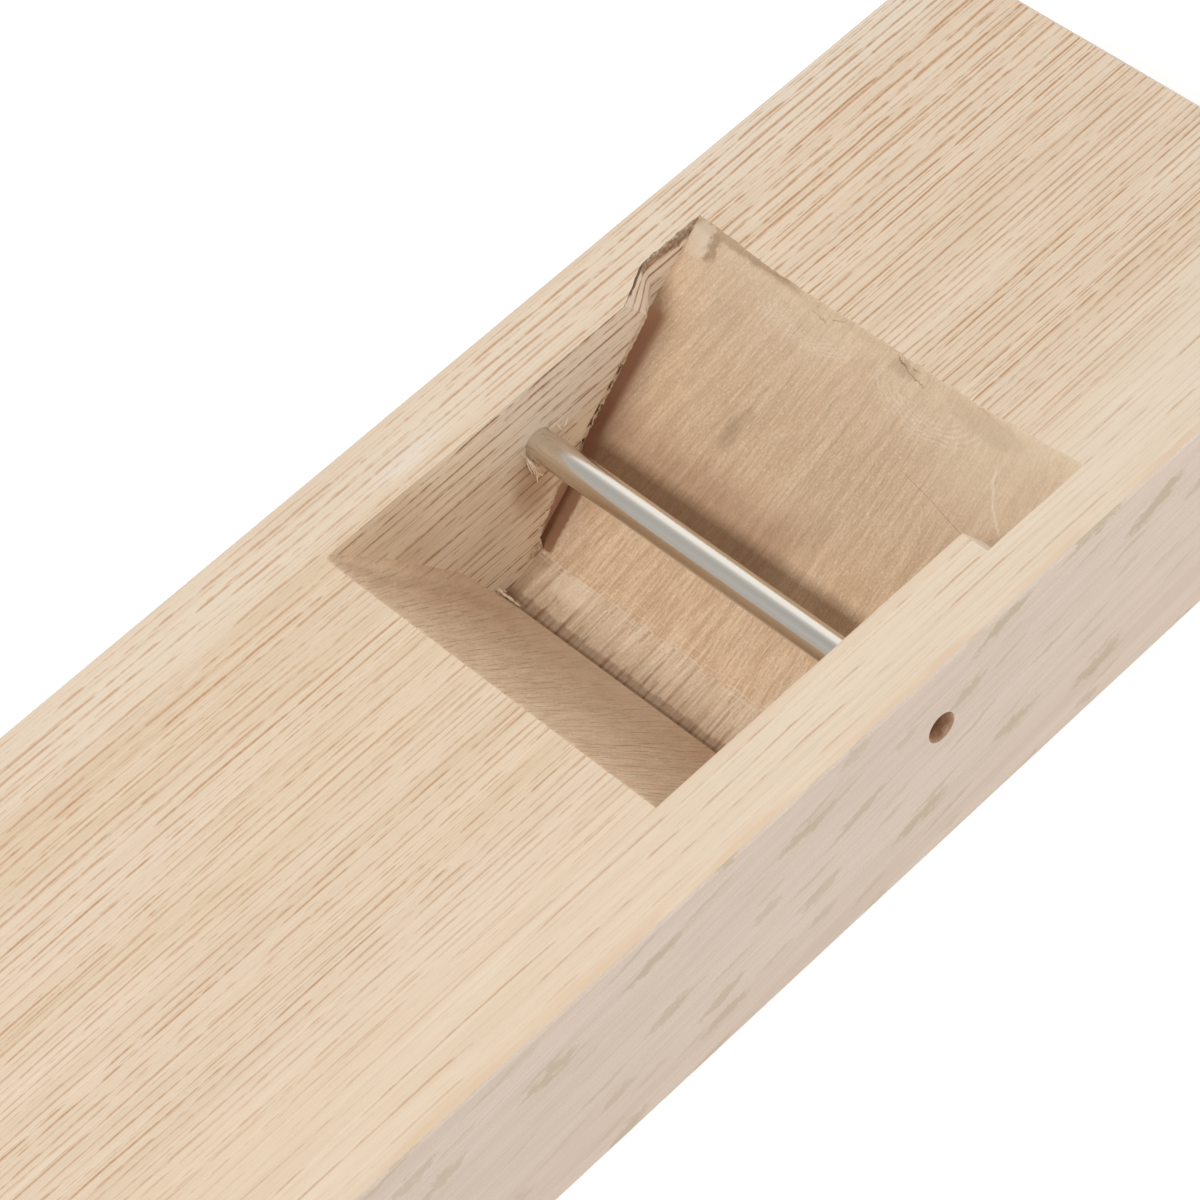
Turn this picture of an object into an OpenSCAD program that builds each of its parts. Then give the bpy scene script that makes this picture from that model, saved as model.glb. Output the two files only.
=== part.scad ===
// Wooden body of a Japanese pull plane with its steel cross pin, the irons taken out.
// One block of oak carries the whole tool: a sloping throat is cut down through it
// to a fine mouth in the sole, and two tapered side grooves hold the blade.
// Millimetres, the sole lies on z = 0 and the middle of the sole is the origin.
// +X points to the head end, where the hammer taps the block to loosen the blade.
// +Y is the side away from the viewer, +Z is up.

/* [Block] */
// length of the block
block_length = 275; // [250:1:300]
// width of the block
block_width = 80; // [76:0.5:90]
// height of the block above the sole
block_height = 31; // [29:0.5:36]
// flat planed on the long edges
edge_bevel = 0.3; // [0.2:0.05:0.6]
// flat planed round both ends
end_bevel = 0.8; // [0.4:0.1:1.4]

/* [Throat] */
// distance from the head end to the foot of the throat's front slope
mouth_from_head = 98.8; // [94:0.2:104]
// clear width between the two cheeks
throat_width = 57.4; // [52:0.2:60]
// how far the throat stands off the middle, as the hand-set cut does
throat_offset = 0.5; // [0:0.1:1]
// steepness of the front slope, in degrees from the sole
slope_angle = 52.7; // [50:0.1:58]
// height of the slope's foot above the sole
slope_foot = 1.7; // [1.2:0.1:2.4]
// radius the cutter leaves between the slope and each cheek
corner_radius = 1.6; // [0.8:0.1:2.5]

/* [Mouth] */
// opening of the mouth in the sole, along the block
mouth_gap = 0.8; // [0.5:0.1:1.4]
// how far the mouth's front wall leans back under the slope
mouth_lean = 0.6; // [0.3:0.1:1]
// steepness of the short ramp that runs under the blade's bevel
ramp_angle = 15.5; // [12:0.5:18]
// length of that ramp, measured level
ramp_run = 7.7; // [6:0.1:9]

/* [Blade bed] */
// steepness of the bed the blade lies on
bed_angle = 37.5; // [36:0.1:40]
// full width of the bed, from groove wall to groove wall
bed_width = 64.8; // [62:0.2:68]
// angle between the bed and the upper wall of each groove
groove_wedge = 8.5; // [7:0.1:10]
// distance from the head end to the upright ends of the cheeks
cheek_from_head = 69.7; // [67:0.1:72]

/* [Cross pin] */
// diameter of the steel pin
pin_diameter = 4.3; // [4:0.1:4.6]
// length of the steel pin
pin_length = 70; // [68:0.5:72]
// bevel turned on both ends of the pin
pin_bevel = 0.4; // [0.2:0.1:0.6]
// free space round the pin in its bore, on the radius
pin_clearance = 0.05; // [0.03:0.01:0.08]
// distance from the head end to the middle of the bore
pin_from_head = 87.2; // [85:0.1:89]
// height of the middle of the bore above the sole
pin_height = 20.7; // [20:0.1:21.5]

/* [Hidden] */
// how far a cut runs out past the face it opens
over = 4;
// x of both ends
head_x = block_length / 2;
toe_x = -head_x;
// throat, worked out from the mouth upward
foot_x = head_x - mouth_from_head;
slope_top_x = foot_x - (block_height - slope_foot) / tan(slope_angle);
sole_front_x = foot_x - mouth_lean;
sole_back_x = sole_front_x + mouth_gap;
ramp_top_x = sole_back_x + ramp_run;
ramp_top_z = ramp_run * tan(ramp_angle);
bed_top_x = ramp_top_x + (block_height - ramp_top_z) / tan(bed_angle);
bed_over_x = bed_top_x + over / tan(bed_angle);
// the cheeks end in short upright cuts, below them the groove's upper wall starts
cheek_x = head_x - cheek_from_head;
wall_angle = bed_angle + groove_wedge;
cheek_foot_z = ramp_top_z + (cheek_x - ramp_top_x) * tan(wall_angle);
// bore of the pin
pin_x = head_x - pin_from_head;
bore_radius = pin_diameter / 2 + pin_clearance;

// the sawn and planed block before the throat is cut
module planed_block() {
    intersection() {
        // seen from the side, with the flats across both ends
        rotate([90, 0, 0])
            linear_extrude(block_width, center = true)
                bevelled_box(block_length, block_height, end_bevel);
        // seen from the end, with the flats along the four long edges
        rotate([90, 0, 90])
            linear_extrude(block_length, center = true)
                bevelled_box(block_width, block_height, edge_bevel);
        // seen from above, with the four upright corners eased
        translate([0, block_width / 2, 0])
            mirror([0, 1, 0])
                linear_extrude(block_height)
                    bevelled_box(block_length, block_width, edge_bevel);
    }
}

// rectangle with eased corners, standing on the level axis
module bevelled_box(wide, high, bevel) {
    polygon([
        [-wide / 2 + bevel, 0], [wide / 2 - bevel, 0],
        [wide / 2, bevel], [wide / 2, high - bevel],
        [wide / 2 - bevel, high], [-wide / 2 + bevel, high],
        [-wide / 2, high - bevel], [-wide / 2, bevel]
    ]);
}

// an outline seen from the side, cut across the block between two values of y
module cut_across(y_low, y_high) {
    translate([0, y_high, 0])
        rotate([90, 0, 0])
            linear_extrude(y_high - y_low)
                children();
}

// open throat between the cheeks: front slope, ramp and bed in one outline
module throat_cut() {
    cheek_y = throat_width / 2;
    intersection() {
        cut_across(throat_offset - cheek_y - 1, throat_offset + cheek_y + 1)
            polygon([
                [slope_top_x - over - 8, block_height + over],
                [foot_x - 8, slope_foot - 0.2],
                [sole_back_x + slope_foot, mouth_ramp_z(sole_back_x + slope_foot)],
                [ramp_top_x, ramp_top_z],
                [bed_over_x, block_height + over]
            ]);
        slope_shaft();
    }
}

// height of the ramp's surface at a place along the block
function mouth_ramp_z(x) = (x - sole_back_x) * tan(ramp_angle);

// shaft running down along the front slope, with the cutter's radius in two corners
module slope_shaft() {
    reach = 90;
    translate([foot_x, throat_offset, slope_foot])
        rotate([0, -(90 - slope_angle), 0])
            translate([0, 0, -12])
                linear_extrude(reach)
                    rounded_shaft(reach);
}

// plan of that shaft: the side at x = 0 is the slope, with a radius at both its ends
module rounded_shaft(reach) {
    half = throat_width / 2;
    union() {
        translate([corner_radius, -half])
            square([reach, throat_width]);
        translate([0, -half + corner_radius])
            square([reach, throat_width - 2 * corner_radius]);
        for (side = [-1, 1])
            translate([corner_radius, side * (half - corner_radius)])
                circle(r = corner_radius, $fn = 48);
    }
}

// fine mouth under the slope's foot, opening through the sole
module mouth_cut() {
    cheek_y = throat_width / 2;
    back_x = sole_back_x + slope_foot;
    under = 1;
    cut_across(throat_offset - cheek_y, throat_offset + cheek_y)
        polygon([
            [foot_x, slope_foot],
            [sole_front_x, 0],
            [sole_front_x, -under],
            [sole_back_x, -under],
            [sole_back_x, 0],
            [back_x, mouth_ramp_z(back_x)],
            [back_x, slope_foot]
        ]);
}

// bed and side grooves for the blade, wider than the throat by one groove each side
module blade_cut() {
    cut_across(-bed_width / 2, bed_width / 2)
        polygon([
            [ramp_top_x, ramp_top_z],
            [cheek_x, cheek_foot_z],
            [cheek_x, block_height + over],
            [bed_over_x, block_height + over]
        ]);
}

// straight bore for the cross pin, right through both cheeks
module pin_bore() {
    translate([pin_x, 0, pin_height])
        rotate([90, 0, 0])
            cylinder(r = bore_radius, h = block_width + 2 * over, center = true, $fn = 96);
}

// oak block with throat, mouth, blade grooves and bore
module plane_body() {
    color("BurlyWood")
        difference() {
            planed_block();
            throat_cut();
            mouth_cut();
            blade_cut();
            pin_bore();
        }
}

// steel pin across the throat, with a small bevel on both ends
module cross_pin() {
    radius = pin_diameter / 2;
    half = pin_length / 2;
    color("Silver")
        translate([pin_x, 0, pin_height])
            rotate([90, 0, 0])
                rotate_extrude($fn = 96)
                    polygon([
                        [0, -half], [radius - pin_bevel, -half],
                        [radius, -half + pin_bevel], [radius, half - pin_bevel],
                        [radius - pin_bevel, half], [0, half]
                    ]);
}

plane_body();
cross_pin();
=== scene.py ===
import math

import bmesh
import bpy
import numpy as np
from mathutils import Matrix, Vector, noise
from mathutils.geometry import delaunay_2d_cdt


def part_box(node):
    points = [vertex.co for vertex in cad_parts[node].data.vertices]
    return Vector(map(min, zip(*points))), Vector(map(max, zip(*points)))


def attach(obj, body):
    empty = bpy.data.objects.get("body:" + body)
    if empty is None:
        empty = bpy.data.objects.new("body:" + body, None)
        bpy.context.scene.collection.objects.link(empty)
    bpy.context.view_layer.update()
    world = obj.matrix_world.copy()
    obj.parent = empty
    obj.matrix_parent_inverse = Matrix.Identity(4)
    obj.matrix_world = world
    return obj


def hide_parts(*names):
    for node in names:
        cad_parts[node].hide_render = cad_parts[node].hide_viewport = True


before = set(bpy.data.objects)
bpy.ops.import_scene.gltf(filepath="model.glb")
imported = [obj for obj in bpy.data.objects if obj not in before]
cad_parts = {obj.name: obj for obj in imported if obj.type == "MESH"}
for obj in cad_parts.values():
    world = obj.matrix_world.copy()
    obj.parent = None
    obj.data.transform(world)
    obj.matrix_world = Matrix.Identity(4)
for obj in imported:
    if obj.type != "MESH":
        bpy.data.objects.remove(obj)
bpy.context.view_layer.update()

# The shapes below are worked out in millimetres and written to the meshes in metres.
MM = 0.001
HEAD_X, SIDE_Y, TOP_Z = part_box("plane_body")[1] / MM
pin_low, pin_high = (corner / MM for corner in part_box("cross_pin"))
PIN_X = (pin_low.x + pin_high.x) / 2
PIN_Z = (pin_low.z + pin_high.z) / 2
PIN_RADIUS = (pin_high.x - pin_low.x) / 2

# Flats along the long edges of the block and round its ends
EDGE_BEVEL, END_BEVEL = 0.3, 0.8

# Throat, with the same driving dimensions as the construction
THROAT_WIDTH = 57.4
THROAT_OFFSET = 0.5
FOOT_X = HEAD_X - 98.8
FOOT_Z = 1.7
SLOPE_ANGLE = math.radians(52.7)
CORNER_RADIUS = 1.6
MOUTH_GAP = 0.8
MOUTH_LEAN = 0.6
RAMP_RUN = 7.7
RAMP_ANGLE = math.radians(15.5)
BED_ANGLE = math.radians(37.5)
BED_HALF = 64.8 / 2
CHEEK_END_X = HEAD_X - 69.7
# the saw cut that ends the cheek leans, so its foot stands farther up the bed
CHEEK_FOOT_X = CHEEK_END_X + 3.1
# closer round the pin than the solid's bore, as in the photo
BORE_RADIUS = PIN_RADIUS + 0.02

LEFT_Y = THROAT_OFFSET + THROAT_WIDTH / 2
RIGHT_Y = THROAT_OFFSET - THROAT_WIDTH / 2
SOLE_FRONT_X = FOOT_X - MOUTH_LEAN
SOLE_BACK_X = SOLE_FRONT_X + MOUTH_GAP
RAMP_X = SOLE_BACK_X + RAMP_RUN
RAMP_Z = RAMP_RUN * math.tan(RAMP_ANGLE)
GROOVE_END_X = RAMP_X + 0.5
# height of the groove over the bed: place along the block and height at each bend of its roof
ROOF = (
    (GROOVE_END_X, 2.1),
    (RAMP_X + 2.3, 3.1),
    (RAMP_X + 4.9, 4.3),
    (RAMP_X + 15.5, 4.5),
    (CHEEK_FOOT_X, 5.4),
)
# mean slope of that roof
ROOF_ANGLE = math.radians(41.5)
# tiny flat left along the upper edges of the throat
LIP = 0.12
RIM_Z = TOP_Z - LIP

# Pith of the tree, seen from the end of the block: rings are arcs round it, rays point to it
PITH_Y = -32.0
PITH_Z = 131.0

# Distances between points of the mesh: along the block, across a groove, down the slope,
# on the bed, on its upper edge, on a groove's roof, on a cheek's end, inside cheek and wall
LONG_STEP, ACROSS_STEP, SLOPE_STEP = 2.0, 0.4, 0.7
BED_STEP, EDGE_STEP, ROOF_STEP, END_STEP = 0.45, 0.2, 0.25, 0.35
CHEEK_RASTER, WALL_RASTER = 0.9, 0.8
# the same on the mouth's front wall, the ramp and the cheek's upper edge
MOUTH_STEP, RAMP_STEP, RIM_STEP = 0.6, 0.4, 0.5
# the finer part of the bed's upper edge reaches this far down
EDGE_DEPTH = 2.0
# the same across the slope, as a share of its width, and round its corners, in radians
SLOPE_SHARE, ROUND_STEP = 0.008, 0.26
BORE_SIDES = 96
# steps to a millimetre by which points are told apart, and how near two of them may come
POINT_STEPS, NEAREST = 1e4, 1e-7


def slope_x(z):
    return FOOT_X - (z - FOOT_Z) / math.tan(SLOPE_ANGLE)


def bed_x(z):
    return RAMP_X + (z - RAMP_Z) / math.tan(BED_ANGLE)


def bed_z(x):
    return RAMP_Z + (x - RAMP_X) * math.tan(BED_ANGLE)


def roof_z(x):
    """Height of the groove's roof."""
    return bed_z(x) + float(np.interp(x, *zip(*ROOF)))


def end_x(z):
    """Where the leaning end of a cheek stands at a height."""
    foot_z = roof_z(CHEEK_FOOT_X)
    return CHEEK_END_X + (CHEEK_FOOT_X - CHEEK_END_X) * (RIM_Z - z) / (RIM_Z - foot_z)


def smooth(low, high, value):
    share = min(1.0, max(0.0, (value - low) / (high - low)))
    return share * share * (3 - 2 * share)


def spread(first, last, step):
    """Even values from first to last, about step apart."""
    count = max(1, math.ceil(abs(last - first) / step))
    return [first + (last - first) * i / count for i in range(count + 1)]


def line(a, b, step):
    """Even points from a to b in the side view, about step apart."""
    share = spread(0.0, 1.0, step / math.dist(a, b))
    return [(a[0] + (b[0] - a[0]) * s, a[1] + (b[1] - a[1]) * s) for s in share]


def soft_noise(x, y, z):
    """Soft noise round 0, one wave per unit."""
    return noise.noise(Vector((x, y, z)))


# What the hand tools left: the bed's upper edge is wavy, and the groove's edge is frayed

# Steep facets under the bed's upper edge, left by short chisel strokes: y, half width, depth
FACETS = ((24.5, 8.5, 1.5), (11.0, 5.6, 2.3), (2.0, 4.8, 1.9), (-10.3, 7.0, 2.4), (-23.5, 7.5, 1.7))
# depth of the leaning strip between the facets
LEAST_FACET = 0.5
# how far the facets lean the edge into the throat, and over which width that fades to either end
FACET_LEAN, FACET_FADE = 0.75, 16
# waves of that edge: how far they reach, how many there are to a millimetre, and where they start
EDGE_WAVES = ((0.22, 0.35, 3.1), (0.12, 1.3, 7.1))
# how far marks reach: broad and small waves of the bed, waves of the cheeks, splinters along
# the groove's edge, chips of the left groove's upper edge, wear of the block's long edges
BED_WAVE, BED_RIPPLE, CHEEK_WAVE, SPLINTER, RIM_CHIP, EDGE_WEAR = 0.10, 0.035, 0.05, 0.3, 0.35, 0.07
# width of the frayed strip along the groove's roof and along the cheek's end
FRAY_WIDTH, END_FRAY_WIDTH = 1.5, 1.0
# width of the strip round the bore that stays as drilled, and how far the throat's marks reach out
BORE_CLEAR, THROAT_REACH = 1.2, 2
# heights off the bed where its own marks end, and where they are full
BED_REACH = (1.6, 0.3)
# The left groove slants out at its top: heights where the slant begins and is full, the height
# from which its run grows, that run, and its growth for each millimetre
SLANT_Z = (24.6, 26.0)
SLANT_LOW_Z, SLANT_RUN, SLANT_GROWTH = 23.0, 1.8, 0.54
# Both grooves get shallower toward the mouth: from where to where, by which share, and the least
SHALLOW_X = (63.0, 54.0)
SHALLOW_SHARE, LEAST_GROOVE = 0.65, 0.04


def facet_depth(y):
    depth = LEAST_FACET
    for centre, half, deepest in FACETS:
        off = (y - centre) / half
        if abs(off) < 1:
            depth = max(depth, deepest * math.sqrt(1 - off * off))
    return depth


def bed_edge_shift(y, down):
    """How far the bed's surface leans into the throat, down millimetres below its upper edge."""
    lean = FACET_LEAN * smooth(BED_HALF, BED_HALF - FACET_FADE, abs(y))
    for reach, pitch, start in EDGE_WAVES:
        lean += reach * soft_noise(y * pitch, start, 0.0)
    return -lean * max(0.0, 1 - down / facet_depth(y))


def bed_shift(x, y, z):
    """How far the chisel left a point of the bed off its plane."""
    if x <= RAMP_X:
        return 0.0
    on_bed = smooth(*BED_REACH, abs(z - bed_z(x)))
    shift = on_bed * bed_edge_shift(y, (TOP_Z - z) / math.sin(BED_ANGLE))
    shift += on_bed * BED_WAVE * soft_noise(x * 0.16, y * 0.13, 5.0)
    return shift + on_bed * BED_RIPPLE * soft_noise(x * 0.7, y * 0.6, 9.0)


def side_shift(p, side):
    """How far waves, splinters and chips leave a point of a cheek or groove wall off its plane."""
    x, y, z = p
    shift = 0.0
    if math.hypot(x - PIN_X, z - PIN_Z) > BORE_RADIUS + BORE_CLEAR:
        splinter = max(0.0, soft_noise(x * 2.1, z * 2.1, side * 7.0) + 0.1)
        shift += side * SPLINTER * fray(p) * splinter
        shift += side * CHEEK_WAVE * soft_noise(x * 0.12, z * 0.2, side * 2.0)
    if y > BED_HALF - 0.01 and z > TOP_Z - 0.5:
        shift += RIM_CHIP * max(0.0, soft_noise(x * 0.9, 2.0, 3.0) + 0.1)
    return shift


def groove_share(x, z, side):
    """How deep a groove is, from 0 to 1: shallow at its lower end; the left one slants out."""
    run = SLANT_RUN + SLANT_GROWTH * max(0.0, z - SLANT_LOW_Z)
    slant = min(1.0, max(0.0, (x - end_x(z)) / run))
    at_end = smooth(*SLANT_Z, z) * (1 - slant) if side > 0 else 0.0
    return max(LEAST_GROOVE, (1 - SHALLOW_SHARE * smooth(*SHALLOW_X, x)) * (1 - at_end))


def hand_cut(p):
    """Where a point of the plain shape ends up on the hand-cut block."""
    x, y, z = p
    side, cheek = (1, LEFT_Y) if y > 0 else (-1, RIGHT_Y)
    dx = dy = 0.0
    in_length = slope_x(z) - THROAT_REACH < x < bed_x(z) + THROAT_REACH
    if in_length and abs(y) < BED_HALF + THROAT_REACH:
        if z > 0.01:
            dx, dy = bed_shift(x, y, z), side_shift(p, side)
        if abs(cheek) + 0.01 < abs(y):
            dy += (cheek - y) * (1 - groove_share(x, z, side))
    if abs(y) > SIDE_Y - 0.5 and z in (0.0, TOP_Z):
        dy -= math.copysign(EDGE_WEAR * soft_noise(x * 0.08, y, z * 0.1), y)
    return (x + dx, y + dy, z)


def fray(p):
    """How much a point of a cheek belongs to the frayed edge of its groove."""
    x, y, z = p
    cheek = LEFT_Y if y > 0 else RIGHT_Y
    if abs(y - cheek) > 0.6 or x < RAMP_X:
        return 0.0
    if z > roof_z(CHEEK_FOOT_X) and x > end_x(z) - END_FRAY_WIDTH:
        return 0.8 * smooth(END_FRAY_WIDTH, 0.2, end_x(z) - x)
    off_roof = (roof_z(x) - z) * math.cos(ROOF_ANGLE)
    return smooth(-FRAY_WIDTH, -0.15, off_roof) if off_roof < 0.3 else 0.0


class Shell:
    """Closed mesh put together from patches that share the points of their borders."""

    def __init__(self):
        self.index, self.points = {}, []
        self.faces, self.surfaces = [], []

    def point(self, p):
        key = tuple(round(c * POINT_STEPS) for c in p)
        if key not in self.index:
            self.index[key] = len(self.points)
            self.points.append(hand_cut(p))
        return self.index[key]

    def face(self, corners, surface):
        corners = [c for i, c in enumerate(corners) if c != corners[i - 1]]
        if len(corners) > 2:
            self.faces.append(corners)
            self.surfaces.append(surface)

    def grid(self, rows, surface):
        """Four-sided faces between neighbouring rows of points."""
        ids = [[self.point(p) for p in row] for row in rows]
        for low, high in zip(ids, ids[1:]):
            for i in range(len(low) - 1):
                self.face([low[i], low[i + 1], high[i + 1], high[i]], surface)

    def flat(self, loops, inside, drop_axis, surface):
        """Fills a flat region between closed loops of points, with more points inside it."""
        keep = [axis for axis in range(3) if axis != drop_axis]
        ids, borders = [], []
        for loop in loops:
            borders.append(list(range(len(ids), len(ids) + len(loop))))
            ids += [self.point(p) for p in loop]
        ids += [self.point(p) for p in inside]
        at = [Vector([self.points[i][axis] for axis in keep]) for i in ids]
        borders = [leftward(at, border) for border in borders]
        made = delaunay_2d_cdt(at, [], borders, 0, NEAREST)
        for triangle, round_it in zip(made[2], made[5]):
            if len(round_it) % 2:
                self.face([ids[made[3][i][0]] for i in triangle], surface)


def leftward(at, border):
    """A border's points in the order that keeps its inside on the left."""
    turns = sum(at[a].cross(at[b]) for a, b in zip(border, border[1:] + border[:1]))
    return border if turns > 0 else border[::-1]


# The cutter's radius in the slope's right corner, as a share of the left one, the height over
# which it fades at the foot and tightens at the top, and how much it tightens
RIGHT_ROUND, ROUND_FADE, ROUND_TIGHTER = 0.25, 9, 0.6


def corner_radius(z, side):
    """The cutter's radius in a corner of the slope: it dies out downward and tightens upward."""
    full = CORNER_RADIUS if side > 0 else RIGHT_ROUND * CORNER_RADIUS
    tighter = 1 - ROUND_TIGHTER * smooth(TOP_Z - ROUND_FADE, TOP_Z, z)
    return full * smooth(FOOT_Z, FOOT_Z + ROUND_FADE, z) * tighter


def slope_row(z):
    """Points across the slope at one height, with the rounded corners at both ends."""
    right, left = corner_radius(z, -1), corner_radius(z, 1)
    flare = LIP if z == TOP_Z else 0.0
    bends = spread(math.pi / 2, 0.0, ROUND_STEP)
    row = [corner_point(z, RIGHT_Y, -1, right, bend, flare) for bend in bends[:-1]]
    for share in spread(0.0, 1.0, SLOPE_SHARE):
        y = RIGHT_Y + right + share * (THROAT_WIDTH - right - left)
        row.append((slope_x(z) - flare, y, z))
    return row + [corner_point(z, LEFT_Y, 1, left, bend, flare) for bend in bends[-2::-1]]


def corner_point(z, cheek, side, radius, bend, flare):
    """A point on the round between slope and cheek; bend runs from the slope to the cheek."""
    into = radius * (1 - math.cos(bend)) / math.sin(SLOPE_ANGLE)
    x = slope_x(z) + into - flare * math.cos(bend)
    return (x, cheek - side * radius * (1 - math.sin(bend)) + side * flare * math.sin(bend), z)


def across(x, z):
    """Points from cheek to cheek, in line with the foot of the slope."""
    return [(x, p[1], z) for p in slope_row(FOOT_Z)]


def side_loops(side):
    """Borders in the side view that the patches at one cheek share."""
    corner = (GROOVE_END_X, bed_z(GROOVE_END_X))
    above = (GROOVE_END_X, roof_z(GROOVE_END_X))
    end_low = (CHEEK_FOOT_X, roof_z(CHEEK_FOOT_X))
    end_high = (CHEEK_END_X, RIM_Z)
    bed_high = (bed_x(RIM_Z), RIM_Z)
    bed_mid = (bed_x(TOP_Z - EDGE_DEPTH), TOP_Z - EDGE_DEPTH)
    cheek = LEFT_Y if side > 0 else RIGHT_Y
    return {
        "cheek": cheek,
        "wall": side * BED_HALF,
        "bed_low": line((RAMP_X, RAMP_Z), corner, BED_STEP),
        "bed_high": line(corner, bed_mid, BED_STEP) + line(bed_mid, bed_high, EDGE_STEP)[1:],
        "step": line(corner, above, ROOF_STEP),
        "roof": [(x, roof_z(x)) for x in spread(GROOVE_END_X, CHEEK_FOOT_X, ROOF_STEP)],
        "end": line(end_low, end_high, END_STEP),
        "wall_top": line(bed_high, end_high, BED_STEP),
    }


SLOPE_Z = [TOP_Z] + spread(RIM_Z, FOOT_Z, SLOPE_STEP)
MOUTH_FRONT = line((FOOT_X, FOOT_Z), (SOLE_FRONT_X, 0.0), MOUTH_STEP)
RAMP = line((SOLE_BACK_X, 0.0), (RAMP_X, RAMP_Z), RAMP_STEP)


def at_y(points, y):
    return [(x, y, z) for x, z in points]


def bore_ring(y):
    turns = [2 * math.pi * i / BORE_SIDES for i in range(BORE_SIDES)]
    return [(PIN_X + BORE_RADIUS * math.cos(a), y, PIN_Z + BORE_RADIUS * math.sin(a)) for a in turns]


def raster(low, high, step):
    """Even places in the side view between two opposite corners."""
    return [(x, z) for x in np.arange(low[0], high[0], step) for z in np.arange(low[1], high[1], step)]


def lip_row(low, start, end, y):
    """Points on the top of the block that face the points of a border just under it."""
    share = [(p[0] - low[0][0]) / (low[-1][0] - low[0][0]) for p in low]
    return [(start + (end - start) * k, y, TOP_Z) for k in share]


def cheek_patch(shell, side):
    """Flat cheek with its bore, and the small flat along its upper edge."""
    s = side_loops(side)
    y = s["cheek"]
    at_cheek = -1 if side > 0 else 0
    slope_side = [(slope_row(z)[at_cheek][0], y, z) for z in SLOPE_Z[1:]]
    top_low = line((CHEEK_END_X, RIM_Z), (slope_side[0][0], RIM_Z), RIM_STEP)
    borders = (MOUTH_FRONT, [MOUTH_FRONT[-1], RAMP[0]], RAMP)
    borders += (s["bed_low"], s["step"], s["roof"], s["end"], top_low)
    loop = slope_side + [p for border in borders for p in at_y(border[1:], y)]
    inside = [(x, y, z) for x, z in raster((18.0, 1.5), (CHEEK_END_X, TOP_Z - 0.6), CHEEK_RASTER)
              if well_inside_cheek(x, z)]
    shell.flat([loop[:-1], bore_ring(y)], inside + fray_points(y), 1, "cheek")
    top_high = lip_row(top_low, CHEEK_END_X - LIP, slope_row(TOP_Z)[at_cheek][0], y + side * LIP)
    shell.grid([at_y(top_low, y), top_high], "cheek")
    return top_high


def well_inside_cheek(x, z):
    clear_of_bore = math.hypot(x - PIN_X, z - PIN_Z) > BORE_RADIUS + 0.7
    clear_of_slope = x > slope_x(z) + CORNER_RADIUS / math.sin(SLOPE_ANGLE) + 0.6
    floor = (x - SOLE_BACK_X) * math.tan(RAMP_ANGLE) if x < RAMP_X else bed_z(x)
    under = z > floor + 0.5 and (x < GROOVE_END_X or z > roof_z(x) + 1.9)
    return clear_of_bore and clear_of_slope and under and x < CHEEK_END_X - 1.0


# rows of points beside a groove's edge: how far they lie above the roof and before the cheek's end
ROOF_ROWS = (0.22, 0.5, 0.85, 1.25, 1.7)
END_ROWS = (0.3, 0.7)


def fray_points(y):
    """Close points along the frayed edge of a groove."""
    made = []
    for x in np.arange(GROOVE_END_X + 0.4, CHEEK_FOOT_X, 0.3):
        for off in ROOF_ROWS:
            z = roof_z(x) + off / math.cos(ROOF_ANGLE)
            if z < TOP_Z - 0.6 and x < end_x(z) - 0.35:
                made.append((x, y, z))
    for z in np.arange(roof_z(CHEEK_FOOT_X) + 0.3, TOP_Z - 0.4, 0.35):
        made += [(end_x(z) - off, y, z) for off in END_ROWS if z > roof_z(end_x(z) - off) + 2.4]
    return made


def groove_patches(shell, side):
    """Groove beside the bed: its roof, its far wall, and the upright end of the cheek above it."""
    s = side_loops(side)
    wall = s["wall"]
    ys = spread(s["cheek"], wall, ACROSS_STEP)
    for border, surface in ((s["step"], "cheek"), (s["roof"], "bed"), (s["end"], "cheek_end")):
        shell.grid([[(x, y, z) for y in ys] for x, z in border], surface)
    x, z = s["end"][-1]
    end_high = [(CHEEK_END_X - LIP, y + side * LIP, TOP_Z) for y in ys]
    shell.grid([[(x, y, z) for y in ys], end_high], "cheek_end")
    borders = (s["bed_high"], s["wall_top"][1:], s["end"][-2::-1], s["roof"][-2::-1], s["step"][-2:0:-1])
    loop = [p for border in borders for p in at_y(border, wall)]
    inside = [(x, wall, z) for x, z in raster((49.0, 4.0), (bed_x(TOP_Z), TOP_Z - 0.5), WALL_RASTER)
              if z > bed_z(x) + 0.5 and (z < roof_z(x) - 0.5 or x > end_x(z) + 0.5)]
    shell.flat([loop], inside, 1, "groove_wall")
    wall_high = lip_row(s["wall_top"], bed_x(TOP_Z) + LIP, CHEEK_END_X - LIP, wall + side * LIP)
    shell.grid([at_y(s["wall_top"], wall), wall_high], "groove_wall")
    return end_high, wall_high


def bed_patch(shell):
    """Bed from groove wall to groove wall, with its narrow foot between the cheeks."""
    columns = [p[1] for p in slope_row(FOOT_Z)]
    left, right = spread(LEFT_Y, BED_HALF, ACROSS_STEP), spread(RIGHT_Y, -BED_HALF, ACROSS_STEP)
    s = side_loops(1)
    shell.grid([[(x, y, z) for y in columns] for x, z in s["bed_low"]], "bed")
    full = right[::-1] + columns[1:-1] + left
    shell.grid([[(x, y, z) for y in full] for x, z in s["bed_high"]], "bed")
    x, z = s["bed_high"][-1]
    top_x = bed_x(TOP_Z) + LIP
    top = [(top_x, y, TOP_Z) for y in full]
    top[0], top[-1] = (top_x, -BED_HALF - LIP, TOP_Z), (top_x, BED_HALF + LIP, TOP_Z)
    shell.grid([[(x, y, z) for y in full], top], "bed")
    return top


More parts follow.
